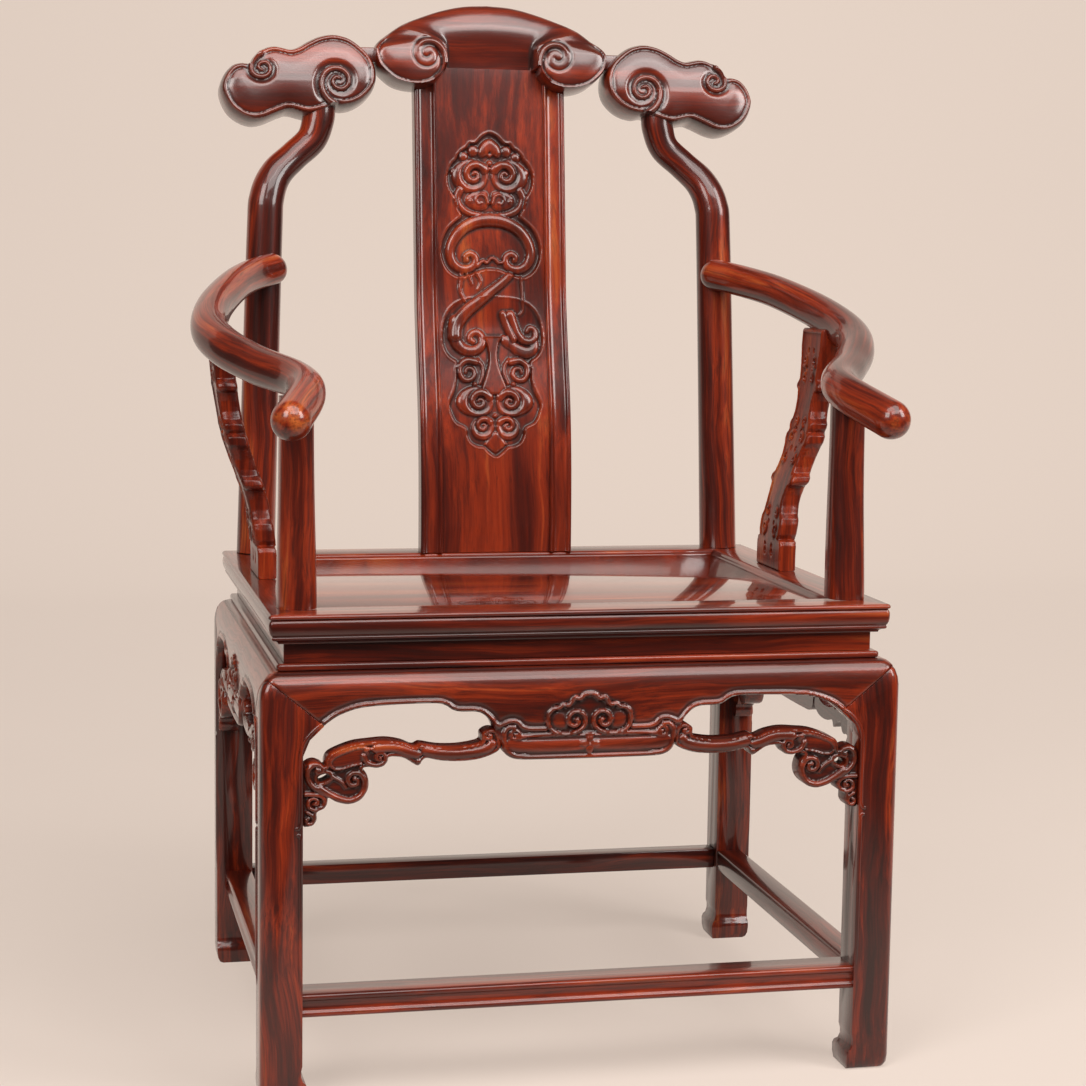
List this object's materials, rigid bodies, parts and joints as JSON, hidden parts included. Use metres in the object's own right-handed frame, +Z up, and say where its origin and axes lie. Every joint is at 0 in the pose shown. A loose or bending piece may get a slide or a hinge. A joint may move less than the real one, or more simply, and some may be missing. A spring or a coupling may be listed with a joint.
{
  "type": "armchair",
  "caption": "Carved rosewood armchair with a scrolled cloud crest, carved splat, S-bent arms, waisted seat frame, openwork aprons and scroll feet.",
  "frame": {"origin": "centre of the bounding box on the floor", "axes": "+Z up, -Y the way the sitter faces, +X to the right of someone who looks at the chair from the front"},
  "size_m": [0.7742, 0.6526, 1.1717],
  "materials": {
    "crest_wood": "polished",
    "post_wood": "polished",
    "splat_wood": "polished",
    "arm_wood": "polished",
    "seat_wood": "polished",
    "apron_wood": "polished",
    "leg_wood": "polished"
  },
  "bodies": {
    "root": {"apron_back": "apron_wood", "apron_front": "apron_wood", "apron_left": "apron_wood", "apron_right": "apron_wood", "arm_left": "arm_wood", "arm_post_left": "post_wood", "arm_post_right": "post_wood", "arm_right": "arm_wood", "arm_strut_left": "splat_wood", "arm_strut_right": "splat_wood", "back_post_left": "post_wood", "back_post_right": "post_wood", "bead_back": "apron_wood", "bead_front": "apron_wood", "bead_left": "apron_wood", "bead_right": "apron_wood", "crest_centre": "crest_wood", "crest_cloud_left": "crest_wood", "crest_cloud_right": "crest_wood", "crest_tenon_left": "crest_wood", "crest_tenon_right": "crest_wood", "leg_back_left": "leg_wood", "leg_back_right": "leg_wood", "leg_front_left": "leg_wood", "leg_front_right": "leg_wood", "seat_batten_left": "seat_wood", "seat_batten_right": "seat_wood", "seat_panel": "seat_wood", "seat_rail_back": "seat_wood", "seat_rail_front": "seat_wood", "seat_rail_left": "seat_wood", "seat_rail_right": "seat_wood", "spandrel_front_left": "apron_wood", "spandrel_front_right": "apron_wood", "spandrel_left_back": "apron_wood", "spandrel_left_front": "apron_wood", "spandrel_right_back": "apron_wood", "spandrel_right_front": "apron_wood", "splat_panel": "splat_wood", "splat_stile_left": "splat_wood", "splat_stile_right": "splat_wood", "stretcher_back": "leg_wood", "stretcher_front": "leg_wood", "stretcher_left": "leg_wood", "stretcher_right": "leg_wood", "waist_back": "apron_wood", "waist_front": "apron_wood", "waist_left": "apron_wood", "waist_right": "apron_wood"}
  },
  "joints": []
}
